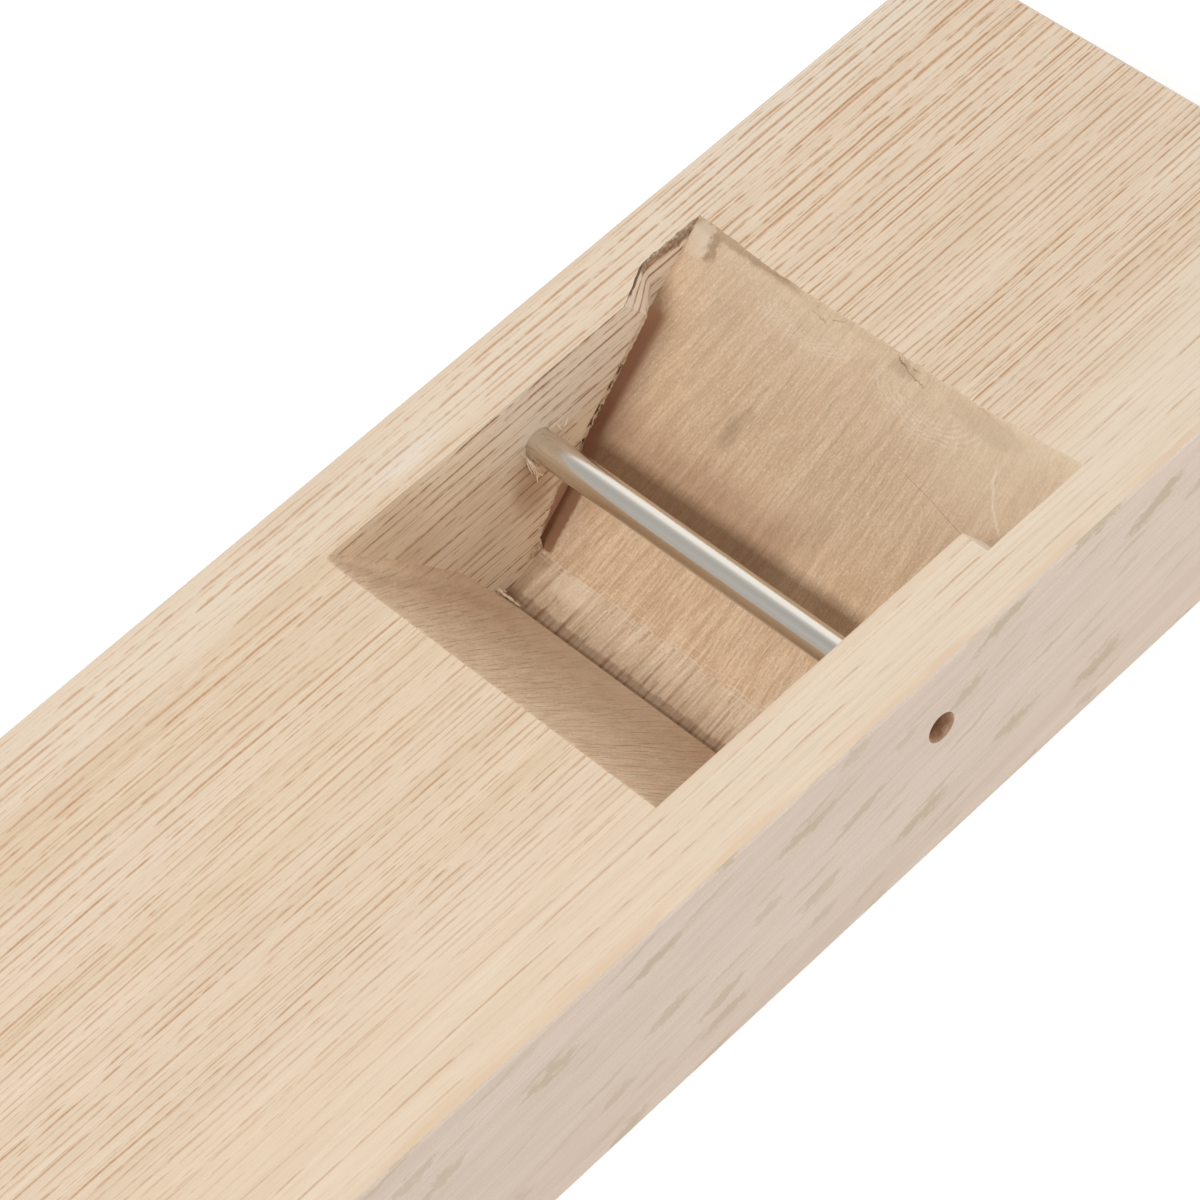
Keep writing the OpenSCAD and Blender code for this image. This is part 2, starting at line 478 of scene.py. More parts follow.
def block_corner(x_side, y_side, z_side):
    """The four points where the flats meet at one corner of the block."""
    e, b = END_BEVEL, EDGE_BEVEL
    centre_z = TOP_Z / 2

    def place(x, y, z):
        return (x_side * x, y_side * y, centre_z + z_side * (z - centre_z))

    return (
        place(HEAD_X - e, SIDE_Y - b, TOP_Z),
        place(HEAD_X - e + b, SIDE_Y, TOP_Z - b),
        place(HEAD_X - b, SIDE_Y, TOP_Z - e + b),
        place(HEAD_X, SIDE_Y - b, TOP_Z - e),
    )


def long_edge(y_side, z_side, which):
    """Points along one long edge of the top, sole or side, from the toe to the head end."""
    toe = block_corner(-1, y_side, z_side)[which]
    head = block_corner(1, y_side, z_side)[which]
    return [(x, toe[1], toe[2]) for x in spread(toe[0], head[0], LONG_STEP)]


def outer_faces(shell, opening):
    """Top with the throat's opening, sole with the mouth, sides with the bore, both ends."""
    for z_side in (1, -1):
        rim = long_edge(1, z_side, 0) + long_edge(-1, z_side, 0)[::-1]
        shell.flat([rim, opening[z_side]], [], 2, "top" if z_side > 0 else "sole")
    for y_side in (1, -1):
        upper, lower = long_edge(y_side, 1, 1), long_edge(y_side, -1, 1)
        ends = {}
        for x_side in (1, -1):
            ends[x_side] = [block_corner(x_side, y_side, 1)[2], block_corner(x_side, y_side, -1)[2]]
        loop = upper + ends[1] + lower[::-1] + ends[-1][::-1]
        shell.flat([loop, bore_ring(y_side * SIDE_Y)], [], 1, "side")
        for z_side in (1, -1):
            shell.grid([long_edge(y_side, z_side, 0), long_edge(y_side, z_side, 1)], "bevel")
        for x_side in (1, -1):
            a, b = (block_corner(x_side, y_side, z_side) for z_side in (1, -1))
            shell.grid([[a[2], a[3]], [b[2], b[3]]], "bevel")
    for x_side in (1, -1):
        for z_side in (1, -1):
            far = [shell.point(p) for p in block_corner(x_side, 1, z_side)]
            near = [shell.point(p) for p in block_corner(x_side, -1, z_side)]
            shell.face(far + near[::-1], "bevel")
        corners = [block_corner(x_side, y, z)[3] for y, z in ((1, 1), (1, -1), (-1, -1), (-1, 1))]
        shell.face([shell.point(p) for p in corners], "end")


def bore_tubes(shell):
    for inner, outer in ((LEFT_Y, SIDE_Y), (RIGHT_Y, -SIDE_Y)):
        rings = [bore_ring(y) for y in spread(inner, outer, LONG_STEP)]
        shell.grid([ring + ring[:1] for ring in rings], "bore")


def make_block():
    """The whole wooden block as one closed mesh."""
    shell = Shell()
    shell.grid([slope_row(z) for z in SLOPE_Z], "slope")
    shell.grid([across(x, z) for x, z in MOUTH_FRONT], "slope")
    shell.grid([across(x, z) for x, z in RAMP], "ramp")
    bed_top = bed_patch(shell)
    left_cheek, right_cheek = cheek_patch(shell, 1), cheek_patch(shell, -1)
    (left_end, left_wall), (right_end, right_wall) = groove_patches(shell, 1), groove_patches(shell, -1)
    top_loop = slope_row(TOP_Z) + left_cheek[-2::-1] + left_end[1:] + left_wall[-2::-1]
    top_loop += bed_top[-2::-1] + right_wall[1:] + right_end[-2::-1] + right_cheek[1:-1]
    mouth_loop = across(SOLE_FRONT_X, 0.0) + across(SOLE_BACK_X, 0.0)[::-1]
    bore_tubes(shell)
    outer_faces(shell, {1: top_loop, -1: mouth_loop})
    return shell


def add_object(name, points, faces):
    mesh = bpy.data.meshes.new(name)
    mesh.from_pydata([Vector(p) * MM for p in points], [], faces)
    obj = bpy.data.objects.new(name, mesh)
    bpy.context.collection.objects.link(obj)
    return obj


def outward(obj):
    bm = bmesh.new()
    bm.from_mesh(obj.data)
    bmesh.ops.recalc_face_normals(bm, faces=bm.faces)
    bm.to_mesh(obj.data)
    bm.free()


# Shader building

def linear(tone):
    """Linear colour of a tone given in the usual 0 to 255 steps."""
    shares = [c / 255 for c in tone]
    return [c / 12.92 if c <= 0.04045 else ((c + 0.055) / 1.055) ** 2.4 for c in shares] + [1.0]


def arithmetic(name, swapped=False):
    """A method of Term that joins it and another value in a math node."""
    def method(self, other):
        return self.net.math(name, *((other, self) if swapped else (self, other)))
    return method


class Term:
    """A node's output that takes part in sums and products."""

    def __init__(self, net, socket):
        self.net, self.socket = net, socket

    __add__ = __radd__ = arithmetic("ADD")
    __mul__ = __rmul__ = arithmetic("MULTIPLY")
    __sub__, __rsub__ = arithmetic("SUBTRACT"), arithmetic("SUBTRACT", swapped=True)
    __truediv__ = arithmetic("DIVIDE")

    def floor(self):
        return self.net.math("FLOOR", self)

    def fract(self):
        return self.net.math("FRACT", self)

    def abs(self):
        return self.net.math("ABSOLUTE", self)


class Net:
    """Short words for the nodes of one material."""

    def __init__(self, owner):
        owner.use_nodes = True
        self.owner, self.colour = owner, None
        self.tree = owner.node_tree
        self.tree.nodes.clear()

    def node(self, kind, **settings):
        made = self.tree.nodes.new("ShaderNode" + kind)
        for name, value in settings.items():
            setattr(made, name, value)
        return made

    def plug(self, value, socket):
        if isinstance(value, Term):
            self.tree.links.new(value.socket, socket)
        else:
            socket.default_value = value

    def link(self, source, target):
        """Joins the first output of one node to the first input of another."""
        self.tree.links.new(source.outputs[0], target.inputs[0])

    def math(self, operation, *values):
        made = self.node("Math", operation=operation)
        for value, socket in zip(values, made.inputs):
            self.plug(value, socket)
        return Term(self, made.outputs[0])

    def step(self, value, low, high):
        """0 on low's side, 1 on high's side, smooth in between; low may be the greater number."""
        ends = (low, high, 0.0, 1.0) if low < high else (high, low, 1.0, 0.0)
        return self.rise(value, *ends, "SMOOTHSTEP")

    def rise(self, value, low, high, first=0.0, last=1.0, kind="LINEAR"):
        """First below low, last above high, in a straight line between them."""
        made = self.node("MapRange", interpolation_type=kind)
        for number, socket in zip((value, low, high, first, last), made.inputs):
            self.plug(number, socket)
        return Term(self, made.outputs["Result"])

    def vector(self, x, y, z):
        made = self.node("CombineXYZ")
        for value, socket in zip((x, y, z), made.inputs):
            self.plug(value, socket)
        return Term(self, made.outputs[0])

    def noise(self, x, y, z, detail=2.0, roughness=0.5):
        """Soft noise around 0.5, one wave per unit."""
        made = self.node("TexNoise")
        self.plug(self.vector(x, y, z), made.inputs["Vector"])
        made.inputs["Scale"].default_value = 1.0
        made.inputs["Detail"].default_value = detail
        made.inputs["Roughness"].default_value = roughness
        return Term(self, made.outputs["Fac"])

    def patches(self, low, high, *place_and_detail):
        """Noise turned into soft patches between two levels."""
        return self.step(self.noise(*place_and_detail), low, high)

    def blot(self, u, v, centre, half, soft=0.6):
        """1 inside an ellipse, 0 outside, with a soft border."""
        a, b = (u - centre[0]) / half[0], (v - centre[1]) / half[1]
        return self.step(a * a + b * b, 1.0, (1 - soft) ** 2)

    def stroke(self, u, v, start, end, width):
        """Thin spindle-shaped mark between two places."""
        length = math.dist(start, end)
        cu, cv = (end[0] - start[0]) / length, (end[1] - start[1]) / length
        off_u, off_v = u - (start[0] + end[0]) / 2, v - (start[1] + end[1]) / 2
        along = (off_u * cu + off_v * cv) / (length / 2)
        off = (off_v * cu - off_u * cv) / width
        return self.step(off.abs() + along * along, 1.0, 0.3)

    def dice(self, x, y, z):
        """Three values from 0 to 1 that jump from cell to cell."""
        made = self.node("TexWhiteNoise", noise_dimensions="3D")
        self.plug(self.vector(x, y, z), made.inputs["Vector"])
        return self.split("SeparateColor", made.outputs["Color"])

    def split(self, kind, socket):
        """The three parts of a vector or colour."""
        made = self.node(kind)
        self.tree.links.new(socket, made.inputs[0])
        return [Term(self, part) for part in made.outputs]

    def mix(self, share, first, second):
        """Mixes two colours, each a tone from 0 to 255 or the output of a node."""
        made = self.node("Mix", data_type="RGBA")
        self.plug(share, made.inputs["Factor"])
        for colour, socket in zip((first, second), made.inputs[6:8]):
            self.plug(linear(colour) if isinstance(colour, tuple) else colour, socket)
        return Term(self, made.outputs[2])

    def lay(self, share, tone):
        """Lays a share of a tone over the colour so far."""
        self.colour = self.mix(share, self.colour, tone)

    def shade(self, factor):
        """Makes the colour so far darker or lighter."""
        made = self.node("VectorMath", operation="SCALE")
        self.plug(self.colour, made.inputs[0])
        self.plug(factor, made.inputs["Scale"])
        self.colour = Term(self, made.outputs[0])

    def place(self):
        """Position on the object in millimetres."""
        scaled = self.node("VectorMath", operation="SCALE")
        self.tree.links.new(self.node("TexCoord").outputs["Object"], scaled.inputs[0])
        scaled.inputs["Scale"].default_value = 1 / MM
        return self.split("SeparateXYZ", scaled.outputs[0])

    def surface(self, roughness, bump=None, bump_depth=0.0, metallic=0.0, specular=0.3):
        """Ends the net in one surface, and gives back its material."""
        shader = self.node("BsdfPrincipled")
        out = self.node("OutputMaterial")
        self.plug(self.colour, shader.inputs["Base Color"])
        self.plug(roughness, shader.inputs["Roughness"])
        shader.inputs["Metallic"].default_value = metallic
        shader.inputs["Specular IOR Level"].default_value = specular
        if bump is not None:
            made = self.node("Bump")
            self.plug(bump, made.inputs["Height"])
            made.inputs["Distance"].default_value = bump_depth * MM
            self.tree.links.new(made.outputs[0], shader.inputs["Normal"])
        self.link(shader, out)
        return self.owner


def look(name):
    """A new material: its net, and the place on the object in millimetres."""
    n = Net(bpy.data.materials.new(name))
    return (n, *n.place())


# Oak

def ring_and_ray(n, y, z):
    """Distance to the pith, and place along a ring counted in millimetres at 100 mm."""
    off_y, off_z = y - PITH_Y, PITH_Z - z
    ring = n.math("SQRT", off_y * off_y + off_z * off_z)
    return ring, n.math("ARCTAN2", off_y, off_z) * 100.0


def chains(n, x, t, r, pitch, width, run, fill, seed, bead=0.0, bias=0.0):
    """Rows of pores along the grain: each row is a chain of long thin marks with soft ends."""
    layer = (r * 0.22 + seed).floor()
    row_at = t / pitch + layer * 0.37
    row = row_at.floor()
    a, b, c = n.dice(row, layer, seed)
    along = x / run + a * 40.0
    long = n.noise(along * 0.3, row * 3.7 + b * 9.0, layer * 5.3 + seed, 1.0)
    short = n.noise(along, row * 7.1 + c * 9.0, layer * 3.1 + seed + 5.0, 2.0, 0.6)
    strong = 1.0 - n.step(long * 0.45 + short * 0.55 + bias, fill + 0.1, fill - 0.1)
    wander = (long - 0.5) * 0.35 + (short - 0.5) * 0.12
    off_row = (row_at.fract() - 0.5 - (b - 0.5) * 0.45 - wander) * (pitch / width)
    edge = off_row.abs() / (0.3 + 0.7 * strong)
    mark = n.step(edge, 1.15, 0.25) * strong * (0.55 + 0.45 * c)
    if bead:
        beads = n.noise(x * 0.9, row * 5.0 + b * 7.0, layer + seed, 2.0, 0.8)
        mark = mark * (1.0 - bead + 2.0 * bead * n.step(beads, 0.3, 0.7))
    return mark


# Tones of the wood
TOP_TONES = (227, 201, 170), (233, 210, 182), (238, 219, 194)
CHEEK_TONES = (235, 214, 187), (244, 228, 203), (249, 235, 212)
TOP_FLECK = (197, 151, 111)
CHEEK_FLECK = (166, 116, 76)
SIDE_FLECK = (197, 180, 154)
WASHED = (240, 226, 208)
SLOPE_PALE = (248, 230, 208)
BED_PALE = (238, 219, 196)
BED_DARK = (150, 116, 86)
DARK_PATCH_TONE = (158, 130, 104)
SCRATCHED = (246, 231, 210)
CREASED = (240, 222, 198)
BROWN = (150, 112, 80)
# painted shade deep in the grooves, and in a strip of the bed along their lower part
GROOVE_SHADE = (204, 164, 134)
GROOVE_STRIP_SHADE = (160, 120, 92)

# how rough the planed top, the pared cheeks and the cuts across the grain are
PLANED, PARED, CUT = 0.62, 0.65, 0.75


def oak_top():
    """Top: long grain, washed out along its far edge, browner in places along the near one."""
    n, x, y, z = look("oak_top")
    r, t = ring_and_ray(n, y, z)
    wash = n.step(y, 29.0, 37.0) * 0.35 + n.step(x, 60.0, 110.0) * 0.2
    wash = wash + n.patches(0.42, 0.62, x * 0.012, y * 0.07, 2.0) * 0.25
    height = long_grain(n, (x, y, z), r, t, TOP_TONES, wash, TOP_FLECK)
    # painted sheen: a pale, cooler patch of highlight on the top near the throat's left
    cloudy = n.patches(0.4, 0.6, x * 0.1, y * 1.6, 3.0, 3.0, 0.6)
    painted_sheen = n.blot(x, y, (33.0, 32.6), (9.5, 2.0), 0.9) * cloudy
    n.lay(painted_sheen * 0.4, (244, 238, 230))
    near_rim = n.step(y, -37.2, -39.4) * n.patches(0.38, 0.6, x * 0.07, y * 0.5, 8.0)
    n.lay(near_rim * 0.6, (230, 198, 166))
    return n.surface(PLANED, height, 0.015)


def long_grain(n, place, r, t, tones, wash, fleck):
    """Wood seen along the grain: calm streaks and rows of pores. Colours the net, gives the height.

    r counts from layer to layer, t from row to row; wash is the share of a paler tone.
    """
    x, y, z = place
    dark, middle, pale = tones
    wander = n.noise(x * 0.008, t * 0.06, r * 0.06) - 0.5
    t2 = t + wander * 1.6
    bands = n.noise(x * 0.008, t2 * 0.22, r * 0.2, 3.0, 0.6)
    streaks = n.noise(x * 0.03, t2 * 0.9, r * 0.9, 3.0, 0.65)
    fine = n.noise(x * 0.10, t2 * 4.5, r * 4.5, 2.0, 0.6)
    near_edge = n.step(y, -14.0, -34.0)
    n.colour = n.mix(n.step(bands * 0.6 + streaks * 0.4, 0.36, 0.6), dark, middle)
    n.lay(n.step(streaks, 0.5, 0.8) * 0.4 + near_edge * 0.55, pale)
    speck = n.noise(x * 2.2, y * 4.0, z * 4.0, 2.0, 0.7)
    n.shade(0.867 + 0.08 * bands + 0.06 * streaks + 0.05 * fine + 0.09 * speck)
    n.lay(wash, WASHED)
    far = n.step(x, 40.0, 85.0)
    rows = chains(n, x, t2, r, 1.16, 0.18, 3.4, 0.47, 1.0, 0.15, far * 0.035)
    more = chains(n, x, t2, r, 0.9, 0.12, 2.4, 0.51, 2.0, 0.15, far * 0.02)
    hair = chains(n, x, t2, r, 0.4, 0.08, 3.6, 0.48, 3.0)
    sparse = chains(n, x, t2 + 0.4, r, 2.3, 0.2, 5.2, 0.5, 4.0, 0.15)
    share = (1.0 - 0.84 * near_edge) * (0.84 + 0.2 * n.step(x, 20.0, 90.0))
    marks = n.math("MAXIMUM", rows * 1.05, more * 0.65)
    marks = n.math("MAXIMUM", marks * share, sparse * near_edge * 0.7)
    n.lay(hair * 0.25 * share, fleck)
    n.lay(marks, fleck)
    return fine - rows * 0.4


def over_roof(n, x, z):
    """How far a place lies above the roof of the groove, square to it."""
    roof = (x - RAMP_X) * math.tan(BED_ANGLE) + RAMP_Z + ROOF[0][1]
    for (x_low, low), (x_high, high) in zip(ROOF, ROOF[1:]):
        roof = n.rise(x, x_low, x_high) * (high - low) + roof
    return (z - roof) * math.cos(ROOF_ANGLE)


def cheek_grain(n, x, y, z):
    """Long grain of the cheeks, paler behind the pin, with painted light deep in the throat."""
    # painted light: the cheeks are paler low down and toward the front, deep in the throat
    deep = n.step(z, 22.0, 4.0) * n.step(x, 48.0, 38.0)
    upper = n.step(x, 38.0, 52.0) * n.step(z, 17.0, 23.0)
    wash = deep * 0.6 + upper * 0.7
    return long_grain(n, (x, y, z), y * 0.5, z * 0.66 - x * 0.014, CHEEK_TONES, wash, CHEEK_FLECK)


# Deep chips along the groove's edge: place along the block and height of each, and its half size
CHEEK_CHIPS = (
    ((64.6, 21.6), (1.2, 1.0)),
    ((62.8, 20.1), (1.0, 0.9)),
    ((60.2, 18.0), (1.7, 1.3)),
    ((58.7, 16.7), (1.0, 0.8)),
    ((56.5, 14.8), (0.9, 0.8)),
    ((48.3, 6.6), (0.9, 0.8)),
)


def oak_cheek():
    """Cheek: long grain, brown in front, with painted shade under the pin, frayed along the groove's
    edge.
    """
    n, x, y, z = look("oak_cheek")
    height = cheek_grain(n, x, y, z)
    front = n.step(x, 36.0, 28.0) * n.step(z, 13.0, 18.0)
    n.lay(front * 0.3, (196, 160, 122))
    off_pin = n.math("SQRT", (x - PIN_X) * (x - PIN_X) + (z - PIN_Z) * (z - PIN_Z))
    outside_bore = n.step(off_pin, BORE_RADIUS, BORE_RADIUS + 0.5)
    # painted shade on the cheek under the pin
    painted_pin_shade = n.blot(x, z, (47.6, 14.2), (4.0, 6.0), 0.9) * outside_bore
    n.lay(painted_pin_shade * 0.5, (168, 130, 98))
    torn = n.noise(x * 1.2, z * 1.2, 3.0, 3.0, 0.6)
    off = over_roof(n, x, z) + (torn - 0.5) * 0.5
    width = 1.1 - n.step(x, 59.0, 56.0) * 0.65
    past_mouth = n.step(x, RAMP_X + 0.4, RAMP_X + 1.0)
    strip = n.step(off - width, 0.15, -0.15) * past_mouth
    shred = n.noise(x * 1.152, off * 2.2, 8.0, 3.0, 0.7)
    chips = n.step(shred, 0.44, 0.54) * n.step(off, 1.0, 0.7)
    deep = sum(n.blot(x, z, place, half, 0.5) for place, half in CHEEK_CHIPS)
    fibre = n.step((off + 0.15 - width).abs(), 0.12, 0.04) * n.step(shred, 0.35, 0.5)
    n.lay(strip * 0.45, (206, 176, 142))
    n.lay(strip * chips * (deep + 0.12), (104, 70, 46))
    n.lay(fibre * past_mouth * 0.6, (252, 242, 224))
    foot = n.blot(x, z, (46.0, 3.0), (1.8, 1.3), 0.5) * n.step(shred, 0.4, 0.55)
    n.lay(foot * 0.6, BROWN)
    return n.surface(PARED, height - chips * strip, 0.03)


def oak_wall():
    """Far wall of a groove, with painted shade under the groove's roof. The left one's upper edge is
    torn, with a crack beside it.
    """
    n, x, y, z = look("oak_wall")
    height = cheek_grain(n, x, y, z)
    on_left = n.step(y, -1.0, 1.0)
    jag = n.noise(x * 0.8, z * 0.8, 4.0, 4.0, 0.7) - 0.5
    torn_z = TOP_Z - 1.2 - n.step(x, 76.0, 81.0) * 0.7
    torn = n.step(z + jag * 2.6 - torn_z, -0.25, 0.35) * n.step(x + jag, 73.0, 73.6) * on_left
    torn = torn * (0.5 + 0.5 * n.patches(0.36, 0.56, x * 2.0, z * 2.0, 6.0, 3.0, 0.7))
    crack = n.step(z + jag * 0.8, TOP_Z - 0.55, TOP_Z - 0.3) * n.step(x + jag, 68.9, 69.8)
    crack = crack * n.step(x, 74.6, 73.6) * on_left
    below = n.blot(x, z, (78.5, 29.9), (6.0, 1.1))
    n.lay(below * 0.35, (186, 150, 116))
    n.lay(torn * 0.8, (126, 90, 60))
    n.lay(crack * 0.9, (100, 66, 42))
    # painted shade where the wall lies under the groove's roof
    in_groove = n.step(x, CHEEK_FOOT_X + 0.9, CHEEK_FOOT_X + 0.3)
    under_roof = n.step(over_roof(n, x, z), 0.4, 0.1) * in_groove
    n.lay(under_roof, GROOVE_SHADE)
    return n.surface(PARED, height - torn - crack, 0.05)


def oak_side():
    """Side: quarter-sawn, with broad and narrow ray flecks that rise toward the head end."""
    n, x, y, z = look("oak_side")
    rise = z - x * 0.09
    bands = n.noise(x * 0.012, rise * 0.3, y * 0.1, 3.0, 0.6)
    fine = n.noise(x * 0.05, z * 2.2, y * 0.5, 3.0, 0.65)
    speck = n.noise(x * 3.6, z * 4.4, y, 2.0, 0.8)
    n.colour = n.mix(n.step(bands, 0.3, 0.7), (217, 198, 181), (226, 208, 192))
    bright = 0.05 * n.step(z, 5.0, 0.5) + 0.04 * n.step(x, 50.0, 90.0)
    n.shade(0.815 + 0.09 * fine + 0.27 * speck + bright)
    broad = side_flecks(n, x, z, 5.6, 17.0, 1.15, 6.6, 0.62, 1.0)
    narrow = side_flecks(n, x, z, 3.1, 14.0, 0.45, 6.0, 0.6, 2.0)
    lines = chains(n, x, rise, z, 0.7, 0.14, 7.0, 0.5, 3.0)
    n.lay(broad * 0.85, SIDE_FLECK)
    n.lay(narrow * 0.6, SIDE_FLECK)
    n.lay(lines * 0.3, (192, 172, 146))
    return n.surface(0.6, fine, 0.01)


def side_flecks(n, x, z, pitch, cell, width, length, share, seed):
    """Broad ray flecks of the quarter-sawn side: long, ragged, rising toward the head end."""
    rise = z - x * 0.14
    ragged = n.noise(x * 0.5, z * 0.9, seed, 3.0, 0.7) - 0.5
    bent = n.noise(x * 0.05, z * 0.1, seed + 4.0) - 0.5
    row_at = (rise + bent * 3.0) / pitch
    row = row_at.floor()
    shift, _, _ = n.dice(row, 3.0, seed)
    cell_at = x / cell + shift * 9.0
    a, b, c = n.dice(row, cell_at.floor(), seed + 5.0)
    off_row = (row_at.fract() - 0.5 - (a - 0.5) * 0.5) * (pitch / width) + ragged * 3.2
    off_cell = (cell_at.fract() - 0.5) * (cell / length) / (0.4 + 0.6 * b)
    thin = off_row.abs() + off_cell * off_cell
    return n.step(thin, 1.05, 0.45) * n.step(c, share, share - 0.02) * (0.5 + 0.5 * b)


def oak_bore():
    """The drilled hole: pale at its rim, darker inside, with dark-stained wood and painted shade of its
    depth.
    """
    n, x, y, z = look("oak_bore")
    rough = n.noise(x * 0.8, y * 0.8, z * 0.8, 3.0, 0.7)
    n.colour = n.mix(n.step(rough, 0.35, 0.65), (214, 176, 142), (236, 204, 172))
    off_middle = y.abs()
    # darker inside: dark-stained wood, and painted shade of the hole's depth
    inside = n.step(off_middle + (rough - 0.5) * 1.4, SIDE_Y - 0.2, SIDE_Y - 3.0)
    inside = inside * n.step(off_middle, 34.0, 36.0)
    n.lay(inside, (168, 116, 84))
    return n.surface(0.7, rough, 0.1)


def cut_surface(n, height):
    """The dull surface of every cut across the grain."""
    return n.surface(CUT, height, 0.03, specular=0.15)


def oak_cut(name, pale, dark, pore_share):
    """Plain end grain."""
    n, x, y, z = look(name)
    return cut_surface(n, cut_grain(n, x, y, z, pale, dark, pore_share, 0.52))


def oak_slope():
    """Front slope: end grain with thin dark lines, painted light at its foot, and paler beside the left
    cheek.
    """
    n, x, y, z = look("oak_slope")
    height = cut_grain(n, x, y, z, (224, 196, 166), (208, 176, 145), 0.3, 0.5)
    r, t = ring_and_ray(n, y, z)
    lines = chains(n, r, t, x, 0.95, 0.11, 3.4, 0.47, 9.0)
    n.lay(lines * 0.55, (142, 108, 78))
    # painted light: the lower slope is paler, as lit by light bouncing off the ramp
    foot = n.step(z, 11.0, 4.0) * n.step(y, -14.0, 2.0)
    n.lay(foot * 0.4, SLOPE_PALE)
    middle = n.step(z, 5.5, 8.5) * n.step(z, 16.0, 12.0)
    n.lay(middle * 0.12, SLOPE_PALE)
    beside_cheek = n.step(y, 24.0, 29.0)
    n.lay(beside_cheek * 0.2, (248, 226, 200))
    return cut_surface(n, height)


# how much of the light comes back out of a pore
HOLE_SHADE = 0.62


def cut_grain(n, x, y, z, pale, dark, pore_share, pore_fill, rough=0.45):
    """Cut across the grain: streaks, crushed fibres, painted glints, pores. Colours the net, gives the
    height.
    """
    r, t = ring_and_ray(n, y, z)
    wander = n.noise(x * 0.12, t * 0.2, r * 0.15) - 0.5
    t2 = t + wander * 0.7
    streak = n.noise(t2 * 1.5, r * 0.16, x * 0.02, 4.0, 0.8)
    fine = n.noise(t2 * 5.0, r * 0.9, x * 0.1, 2.0, 0.7)
    grain = n.noise(x * 3.2, y * 4.2, z * 3.2, 2.0, 0.75)
    blotch = n.noise(x * 0.07, y * 0.09, z * 0.07, 4.0, 0.6)
    n.colour = n.mix(n.step(streak, 0.34, 0.66), dark, pale)
    n.shade((0.81 - 0.5 * rough) + 0.18 * blotch + 0.19 * fine + rough * grain)
    # painted glints: small pale specks that stand for light catching the fibres
    painted_glint = n.patches(0.64, 0.74, t2 * 3.2, r * 1.4, x * 1.4, 1.0)
    n.lay(painted_glint * 0.4, (240, 220, 194))
    holes = chains(n, r, t2, x, 0.6, 0.13, 1.5, pore_fill, 4.0)
    n.lay(holes * pore_share, [c * HOLE_SHADE for c in linear(dark)[:3]] + [1.0])
    return fine


# Scratches where the bed meets the ramp: how far each lies from the crease, and its width
CREASE = ((-0.5, 0.09), (0.05, 0.12), (0.55, 0.08), (1.4, 0.06))


def crease_scratches(n, x, y):
    """Adds the pale scratches that the blade left where the bed meets the ramp."""
    bend = n.noise(y * 0.06, 1.0, 2.0, 2.0, 0.6) - 0.5
    total = 0.0
    for number, (offset, width) in enumerate(CREASE):
        own = n.noise(y * 0.12, number * 5.0, 7.0) - 0.5
        off = (x - (RAMP_X + offset) - bend * 1.6 - own * 0.9).abs()
        broken = n.patches(0.42, 0.56, y * 0.22, number * 3.0, 4.0)
        total = n.step(off, width, width * 0.3) * broken + total
    n.lay(n.step(total, 0.0, 1.0) * 0.4, CREASED)


# Marks on the bed. A place counts down the bed from its upper edge, then across the block.

# Two nests of ripples under the upper edge: middle and half size of each
RIPPLES = (((3.4, 11.0), (2.9, 8.0)), ((3.4, -10.3), (4.2, 8.4)))
# Paler clouds over them
CLOUDS = (((4.2, 11.5), (4.0, 8.5)), ((4.6, -9.5), (4.2, 7.5)))
# Darker patches, the first one painted shade along the upper edge: middle, half size and strength
DARK_PATCHES = (
    ((2.4, -19.0), (2.0, 8.0), 0.22),
    ((20.5, 12.8), (3.6, 1.7), 0.4),
    ((17.5, 11.6), (1.6, 1.2), 0.3),
    ((2.0, -4.6), (1.3, 3.2), 0.35),
    ((8.5, 22.0), (4.0, 3.0), 0.12),
    ((26.0, -3.0), (5.0, 6.0), 0.12),
)
# Dark nicks: both ends, width and strength
NICKS = (
    ((1.0, -2.4), (1.9, -5.4), 0.22, 0.8),
    ((1.7, -4.4), (2.8, -8.8), 0.16, 0.7),
    ((0.8, -5.2), (1.2, -7.2), 0.18, 0.7),
    ((0.9, 5.2), (1.7, 8.2), 0.12, 0.5),
    ((2.5, 7.4), (2.2, 12.0), 0.10, 0.5),
)
# Dark line that a saw left, and a curved pale scratch near the right edge: both ends and width
SAW_LINE = (((12.3, -9.5), (13.9, -18.5), 0.07), ((13.1, -14.5), (16.4, -28.8), 0.09))
SCRATCH = (
    ((5.0, -22.3), (9.2, -23.5), 0.3),
    ((6.8, -22.7), (11.4, -25.4), 0.3),
    ((9.4, -23.9), (13.4, -28.2), 0.3),
)


def bed_clouds(n, s, v, torn):
    """Adds paler clouds and ripples to the bed's upper part."""
    cloud = sum(n.blot(s, v, centre, half, 1.0) for centre, half in CLOUDS)
    n.lay(cloud * (0.15 + torn * 0.8), BED_PALE)
    upper = n.step(s, 17.0, 4.0) * 0.22 + n.step(s, 4.5, 1.5) * 0.22
    corner = n.step(v, -9.0, -21.0) * n.step(s, 20.0, 9.0) * 0.3
    n.lay((upper + corner) * (0.8 + torn * 1.2), (242, 221, 193))
    broken = n.patches(0.3, 0.6, s * 0.8, v * 0.8, 5.0, 3.0, 0.7)
    for centre, half in RIPPLES:
        a, b = (s - centre[0]) / half[0], (v - centre[1]) / half[1]
        ring = n.math("SQRT", a * a + b * b)
        crest = n.step(((ring * 8.0).fract() - 0.5).abs(), 0.4, 0.05)
        ripple = crest * n.step((ring - 0.85).abs(), 0.42, 0.2)
        faint = n.step(s, centre[0] - 0.5, centre[0] + 1.5) * broken * 0.32
        n.lay(ripple * faint, SCRATCHED)


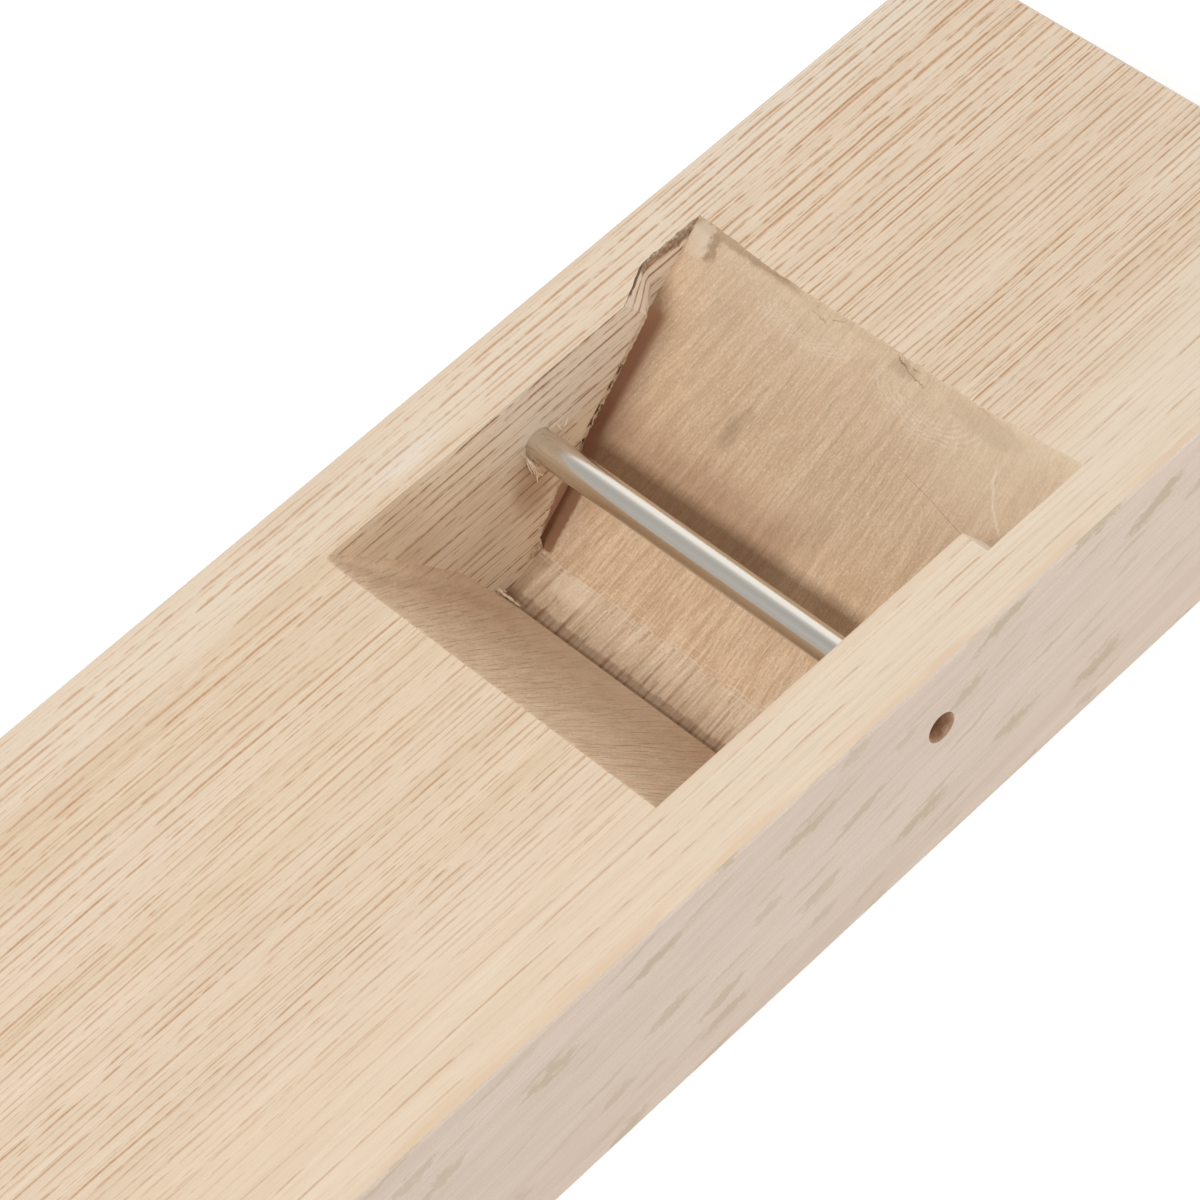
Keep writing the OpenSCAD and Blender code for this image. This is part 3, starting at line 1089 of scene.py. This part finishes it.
def bed_stains(n, y, s, v, torn):
    """Adds the dark band and torn patch at the upper edge, darker patches, one of them painted shade, and
    nicks.
    """
    band = n.step(s, 1.7, 0.7) * n.step(y, 12.0, 17.0)
    n.lay(band * 0.45, BED_DARK)
    patch = n.blot(s + torn * 2.5, v + torn * 2.5, (2.4, 30.6), (2.9, 2.3), 0.35)
    beside = n.blot(s + torn, v + torn * 2.0, (2.6, 28.4), (2.5, 1.3), 0.8)
    n.lay(beside * 0.6, BED_DARK)
    n.lay(patch * 0.5, BED_PALE)
    # darker patches; the first is painted shade along the upper edge
    for centre, half, share in DARK_PATCHES:
        n.lay(n.blot(s, v, centre, half, 1.0) * share, DARK_PATCH_TONE)
    for start, end, width, share in NICKS:
        n.lay(n.stroke(s, v, start, end, width) * share, BED_DARK)


def bed_grooves(n, x, y, torn):
    """Paints shade on the bed inside both grooves, and in a strip along their lower part."""
    # painted shade on the bed inside the grooves
    in_groove = n.step(y, 28.7, 29.8) + n.step(y, -27.7, -28.8)
    n.lay(in_groove * n.step(x, 75.0, 73.4), GROOVE_SHADE)
    # painted shade in a strip of the bed along the grooves' lower part
    border = 27.5 + n.step(x, 52.0, 62.0) * 1.3 + torn
    groove_strip_shade = n.step(y - border, 0.0, 0.6) + n.step(0.0 - y - border, -1.0, -0.4)
    groove_strip_shade = groove_strip_shade * n.step(x + torn, 46.9, 47.2) * n.step(x, 60.0, 54.0)
    n.lay(groove_strip_shade, GROOVE_STRIP_SHADE)


def oak_bed():
    """The bed, with what chisel, saw and blade left on it."""
    n, x, y, z = look("oak_bed")
    pale = n.mix(n.step(z, 12.0, 5.0), (223, 195, 163), (230, 205, 175))
    height = cut_grain(n, x, y, z, pale, (204, 173, 141), 0.35, 0.52, 0.68)
    ragged = n.noise(x * 0.35, y * 0.35, z * 0.35, 4.0, 0.7) - 0.5
    torn = n.noise(x * 0.9, y * 0.9, z * 0.9, 4.0, 0.75) - 0.5
    down = (TOP_Z - z) / math.sin(BED_ANGLE)
    s = down + ragged * 1.4 + torn * 0.8
    v = y + ragged * 2.0 + torn * 0.8
    bed_clouds(n, s, v, torn)
    bed_stains(n, y, s, v, torn)
    calm_s, calm_v = down + ragged * 0.25, y + ragged * 0.2
    saw = sum(n.stroke(calm_s, y, *mark) for mark in SAW_LINE)
    n.lay(saw * 0.5, BED_DARK)
    for mark in SCRATCH:
        n.lay(n.stroke(calm_s, calm_v, *mark) * 0.4, SCRATCHED)
    crease_scratches(n, x, y)
    bed_grooves(n, x, y, torn)
    # painted shadow of the pin on the bed
    painted_pin_shadow = n.step(s, 23.0, 29.5) * n.step(s, 36.5, 33.5) * n.step(y, -7.0, 1.0)
    n.lay(painted_pin_shadow * 0.45, (146, 104, 78))
    return cut_surface(n, height)


def oak_ramp():
    """The ramp: coarse pores, a painted shadow at the slope's foot, and painted shade in a brown strip
    along the cheek.
    """
    n, x, y, z = look("oak_ramp")
    height = cut_grain(n, x, y, z, (231, 210, 184), (211, 183, 153), 0.5, 0.5, 0.55)
    r, t = ring_and_ray(n, y, z)
    coarse = chains(n, x, t, r, 1.5, 0.24, 2.2, 0.46, 6.0)
    # real pores, darkened near the slope's foot as part of its painted shadow
    near_foot = n.step(x, 43.5, 40.0)
    n.lay(coarse * (0.45 + 0.35 * near_foot), BROWN)
    # painted shade in a brown strip along the cheek
    wavy_y = y + (n.noise(x * 0.4, y * 0.4, 1.0) - 0.5) * 2.0
    beside_cheek = n.step(wavy_y, 26.6, 28.4)
    n.lay(beside_cheek * 0.5, (160, 124, 94))
    clean = n.blot(x, y, (45.0, 21.5), (2.4, 4.5))
    n.lay(clean * 0.35, (244, 228, 206))
    crease_scratches(n, x, y)
    # painted shadow of the slope on the ramp, just past its foot, with a ragged edge
    wavy_x = x + (n.noise(x * 0.5, y * 0.5, 2.0, 3.0, 0.6) - 0.5) * 1.2
    foot = n.step(wavy_x - n.step(y, 10.0, 25.0) * 0.3, 41.0, 40.5)
    n.lay(foot * 0.42, (140, 104, 78))
    return cut_surface(n, height)


def bright_steel():
    """The pin: nearly a mirror, with faint marks round it."""
    n, x, y, z = look("bright_steel")
    turn = n.math("ARCTAN2", z - PIN_Z, x - PIN_X) * 3.0
    marks = n.noise(y * 0.25, turn * 4.0, 1.0, 3.0, 0.6)
    n.colour = n.mix(marks, (219, 213, 203), (225, 219, 209))
    return n.surface(0.14 + 0.1 * marks, metallic=1.0, specular=0.5)


def white_floor():
    """White paper that also glows, but only to the camera and in what mirrors or lets it through."""
    n, x, y, _ = look("white_floor")
    paper = n.noise(x * 0.5, y * 0.5, 0.0)
    n.colour = n.mix(paper, (236, 236, 236), (240, 240, 240))
    diffuse = n.node("BsdfDiffuse")
    n.plug(n.colour, diffuse.inputs[0])
    glow = n.node("Emission")
    path = n.node("LightPath")
    seen = 0.0
    for ray in ("Is Camera Ray", "Is Glossy Ray", "Is Transmission Ray"):
        seen = n.math("MAXIMUM", Term(n, path.outputs[ray]), seen)
    n.plug(seen * 0.5, glow.inputs["Strength"])
    add = n.node("AddShader")
    n.link(diffuse, add)
    n.tree.links.new(glow.outputs[0], add.inputs[1])
    out = n.node("OutputMaterial")
    n.link(add, out)
    return n.owner


# Whole scene

# edges that turn more than this stay sharp
SHARP_ANGLE = math.radians(30)


def build_block():
    shell = make_block()
    obj = add_object("oak_block", shell.points, shell.faces)
    looks = {
        "top": oak_top(),
        "side": oak_side(),
        "cheek": oak_cheek(),
        "wall": oak_wall(),
        "bore": oak_bore(),
        "bed": oak_bed(),
        "ramp": oak_ramp(),
        "slope": oak_slope(),
        "end": oak_cut("oak_end", (224, 200, 172), (204, 174, 142), 0.4),
    }
    names = list(looks)
    for material in looks.values():
        obj.data.materials.append(material)
    where = {"sole": "top", "bevel": "side", "groove_wall": "wall", "cheek_end": "wall"}
    for polygon, surface in zip(obj.data.polygons, shell.surfaces):
        polygon.material_index = names.index(where.get(surface, surface))
        polygon.use_smooth = True
    outward(obj)
    obj.data.set_sharp_from_angle(angle=SHARP_ANGLE)
    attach(obj, "block")
    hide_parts("plane_body")


# where the three edges of a fibre stand round its path, in radians
FIBRE_TURNS = (0.3, 2.4, 4.5)


def add_fibre(points, faces, path, width):
    """A torn fibre: a thin three-sided splinter along a path, pointed at both ends."""
    first = len(points)
    middle = (len(path) - 1) / 2
    points.append(path[0])
    for number, place in enumerate(path[1:-1], 1):
        half = width / 2 * math.sqrt(1 - abs(number - middle) / (middle + 0.5))
        for turn in FIBRE_TURNS:
            off = (half * math.cos(turn), 0.5 * half * math.sin(turn), half * math.sin(turn))
            points.append(tuple(c + o for c, o in zip(place, off)))
    points.append(path[-1])
    last = len(points) - 1
    for side in range(3):
        other = (side + 1) % 3
        faces.append((first, first + 1 + side, first + 1 + other))
        for ring in range(len(path) - 3):
            low, high = first + 1 + 3 * ring, first + 4 + 3 * ring
            faces.append((low + side, high + side, high + other, low + other))
        faces.append((last - 3 + other, last - 3 + side, last))


# Torn fibres that the tools left, near the left cheek: three places along each, and its width
FIBRES = (
    ((47.85, 29.1, 20.5), (48.1, 28.6, 18.6), (48.45, 28.8, 16.2), 0.55),
    ((47.9, 29.1, 20.1), (48.4, 28.5, 18.2), (48.9, 28.7, 15.4), 0.6),
    ((48.0, 29.1, 19.2), (48.8, 28.6, 17.8), (49.2, 28.8, 16.2), 0.5),
    ((47.8, 29.1, 19.9), (47.8, 28.7, 18.2), (48.1, 28.9, 16.8), 0.35),
    ((48.6, 28.7, 17.2), (48.5, 28.6, 15.9), (48.4, 28.8, 15.0), 0.3),
    ((48.8, 28.7, 16.8), (49.2, 28.6, 15.8), (49.6, 28.8, 15.5), 0.3),
    ((47.8, 29.1, 20.4), (47.75, 28.3, 19.9), (48.0, 27.5, 19.0), 0.2),
    ((47.4, 29.1, 21.7), (47.5, 28.9, 20.8), (47.8, 29.0, 20.0), 0.25),
    ((53.7, 29.1, 21.4), (53.7, 28.8, 20.6), (54.2, 28.9, 19.8), 0.28),
    ((54.4, 29.1, 20.0), (54.8, 28.8, 20.6), (55.4, 29.0, 21.3), 0.22),
    ((47.7, 29.1, 6.2), (47.3, 28.9, 6.7), (46.9, 29.0, 6.9), 0.22),
    ((47.2, 29.1, 5.4), (46.8, 28.9, 5.8), (46.5, 29.0, 6.4), 0.22),
    ((49.4, 29.1, 8.3), (48.9, 28.9, 8.4), (48.5, 29.0, 8.8), 0.2),
    ((38.95, 29.4, 1.9), (38.8, 28.8, 2.2), (38.9, 28.1, 2.1), 0.65),
    ((38.95, 28.5, 1.9), (38.75, 27.9, 2.2), (38.9, 27.2, 2.0), 0.55),
    ((38.95, 27.6, 1.9), (38.8, 26.9, 2.2), (38.9, 26.1, 2.0), 0.55),
    ((38.95, 26.4, 1.8), (38.85, 25.7, 2.0), (38.9, 25.0, 1.9), 0.35),
    ((39.1, 28.9, 1.6), (39.3, 28.5, 1.9), (39.5, 28.3, 1.7), 0.3),
)


def build_fibres():
    points, faces = [], []
    for start, middle, end, width in FIBRES:
        path = []
        for share in spread(0.0, 1.0, 0.15):
            weights = (1 - share) * (1 - 2 * share), 4 * share * (1 - share), share * (2 * share - 1)
            path.append([sum(w * c for w, c in zip(weights, place)) for place in zip(start, middle, end)])
        add_fibre(points, faces, path, width)
    obj = add_object("torn_fibres", points, faces)
    outward(obj)
    obj.data.materials.append(oak_cut("oak_fibre", (250, 238, 218), (240, 222, 196), 0.1))
    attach(obj, "block")


def dress_pin():
    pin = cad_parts["cross_pin"]
    pin.data.materials.clear()
    pin.data.materials.append(bright_steel())


# Floor: half its width, and how far it lies under the sole
FLOOR_HALF, FLOOR_GAP = 6000.0, 0.05


def build_floor():
    low, high = -FLOOR_HALF, FLOOR_HALF
    corners = [(low, low, 0.0), (high, low, 0.0), (high, high, 0.0), (low, high, 0.0)]
    floor = add_object("floor", corners, [(0, 1, 2, 3)])
    floor.location.z = -FLOOR_GAP * MM
    floor.data.materials.append(white_floor())


# Strength of the studio's parts: ceiling, window beyond the head end, window behind the viewer,
# floor and soft box
CEILING, WINDOW, REAR_WINDOW, PALE_FLOOR, SOFT_BOX = 0.11, 1.05, 0.84, 0.52, 0.5


def build_world():
    """Studio: a bright window beyond the head end, one behind the viewer, a pale floor all round,
    a long soft box along the far side that the pin mirrors, and a dark ceiling."""
    world = bpy.data.worlds.new("studio")
    bpy.context.scene.world = world
    n = Net(world)
    x, y, z = n.split("SeparateXYZ", n.node("TexCoord").outputs["Generated"])
    toward_head = x * 0.97 + y * 0.26
    beyond = n.step(toward_head, 0.12, 0.68)
    behind = n.step(y, -0.3, -0.9)
    low = n.step(z, 0.35, 0.0)
    box = n.step(y, 0.38, 0.46) * n.step(y, 0.66, 0.56) * n.step(toward_head, 0.5, 0.15)
    back = n.node("Background")
    back.inputs["Color"].default_value = (1.0, 1.0, 1.0, 1.0)
    windows = CEILING + beyond * WINDOW + behind * REAR_WINDOW
    n.plug(windows + low * PALE_FLOOR + box * SOFT_BOX, back.inputs["Strength"])
    n.link(back, n.node("OutputWorld"))


# The lamp faces this place, the middle of the pin
PIN_MIDDLE = Vector((PIN_X, 0.0, PIN_Z)) * MM
# Lamp: the angle at which it stands over the toe end, its distance and size in metres, its watts
LAMP_HEIGHT, LAMP_AWAY, LAMP_SIZE, LAMP_POWER = math.radians(50.8), 2.0, (0.92, 0.32), 21.0
# Camera, solved from the photo: place in millimetres, turn in degrees, lens and sensor width in
# millimetres, and how far it sees, in metres
CAMERA_PLACE = (-154.58, -284.83, 454.81)
CAMERA_TURN = (37.9197, 8.5094, -44.3098)
CAMERA_LENS, CAMERA_SENSOR, CAMERA_REACH = 137.358, 36.0, 20.0


def build_lamp():
    """Rectangular lamp beyond the toe end that faces the pin's middle; it is not in the picture."""
    light = bpy.data.lights.new("key", "AREA")
    light.shape = "RECTANGLE"
    light.size, light.size_y = LAMP_SIZE
    light.energy = LAMP_POWER
    lamp = bpy.data.objects.new("key", light)
    away = Vector((-math.cos(LAMP_HEIGHT), 0.0, math.sin(LAMP_HEIGHT)))
    lamp.location = PIN_MIDDLE + LAMP_AWAY * away
    aim = PIN_MIDDLE - lamp.location
    lamp.rotation_euler = aim.to_track_quat("-Z", "Y").to_euler()
    lamp.visible_camera = False
    bpy.context.collection.objects.link(lamp)


def build_camera():
    data = bpy.data.cameras.new("camera")
    data.lens, data.sensor_width = CAMERA_LENS, CAMERA_SENSOR
    data.clip_end = CAMERA_REACH
    camera = bpy.data.objects.new("camera", data)
    camera.location = Vector(CAMERA_PLACE) * MM
    camera.rotation_euler = [math.radians(a) for a in CAMERA_TURN]
    bpy.context.collection.objects.link(camera)
    bpy.context.scene.camera = camera


build_block()
build_fibres()
dress_pin()
build_floor()
build_world()
build_lamp()
build_camera()
bpy.context.scene.view_settings.view_transform = "Standard"
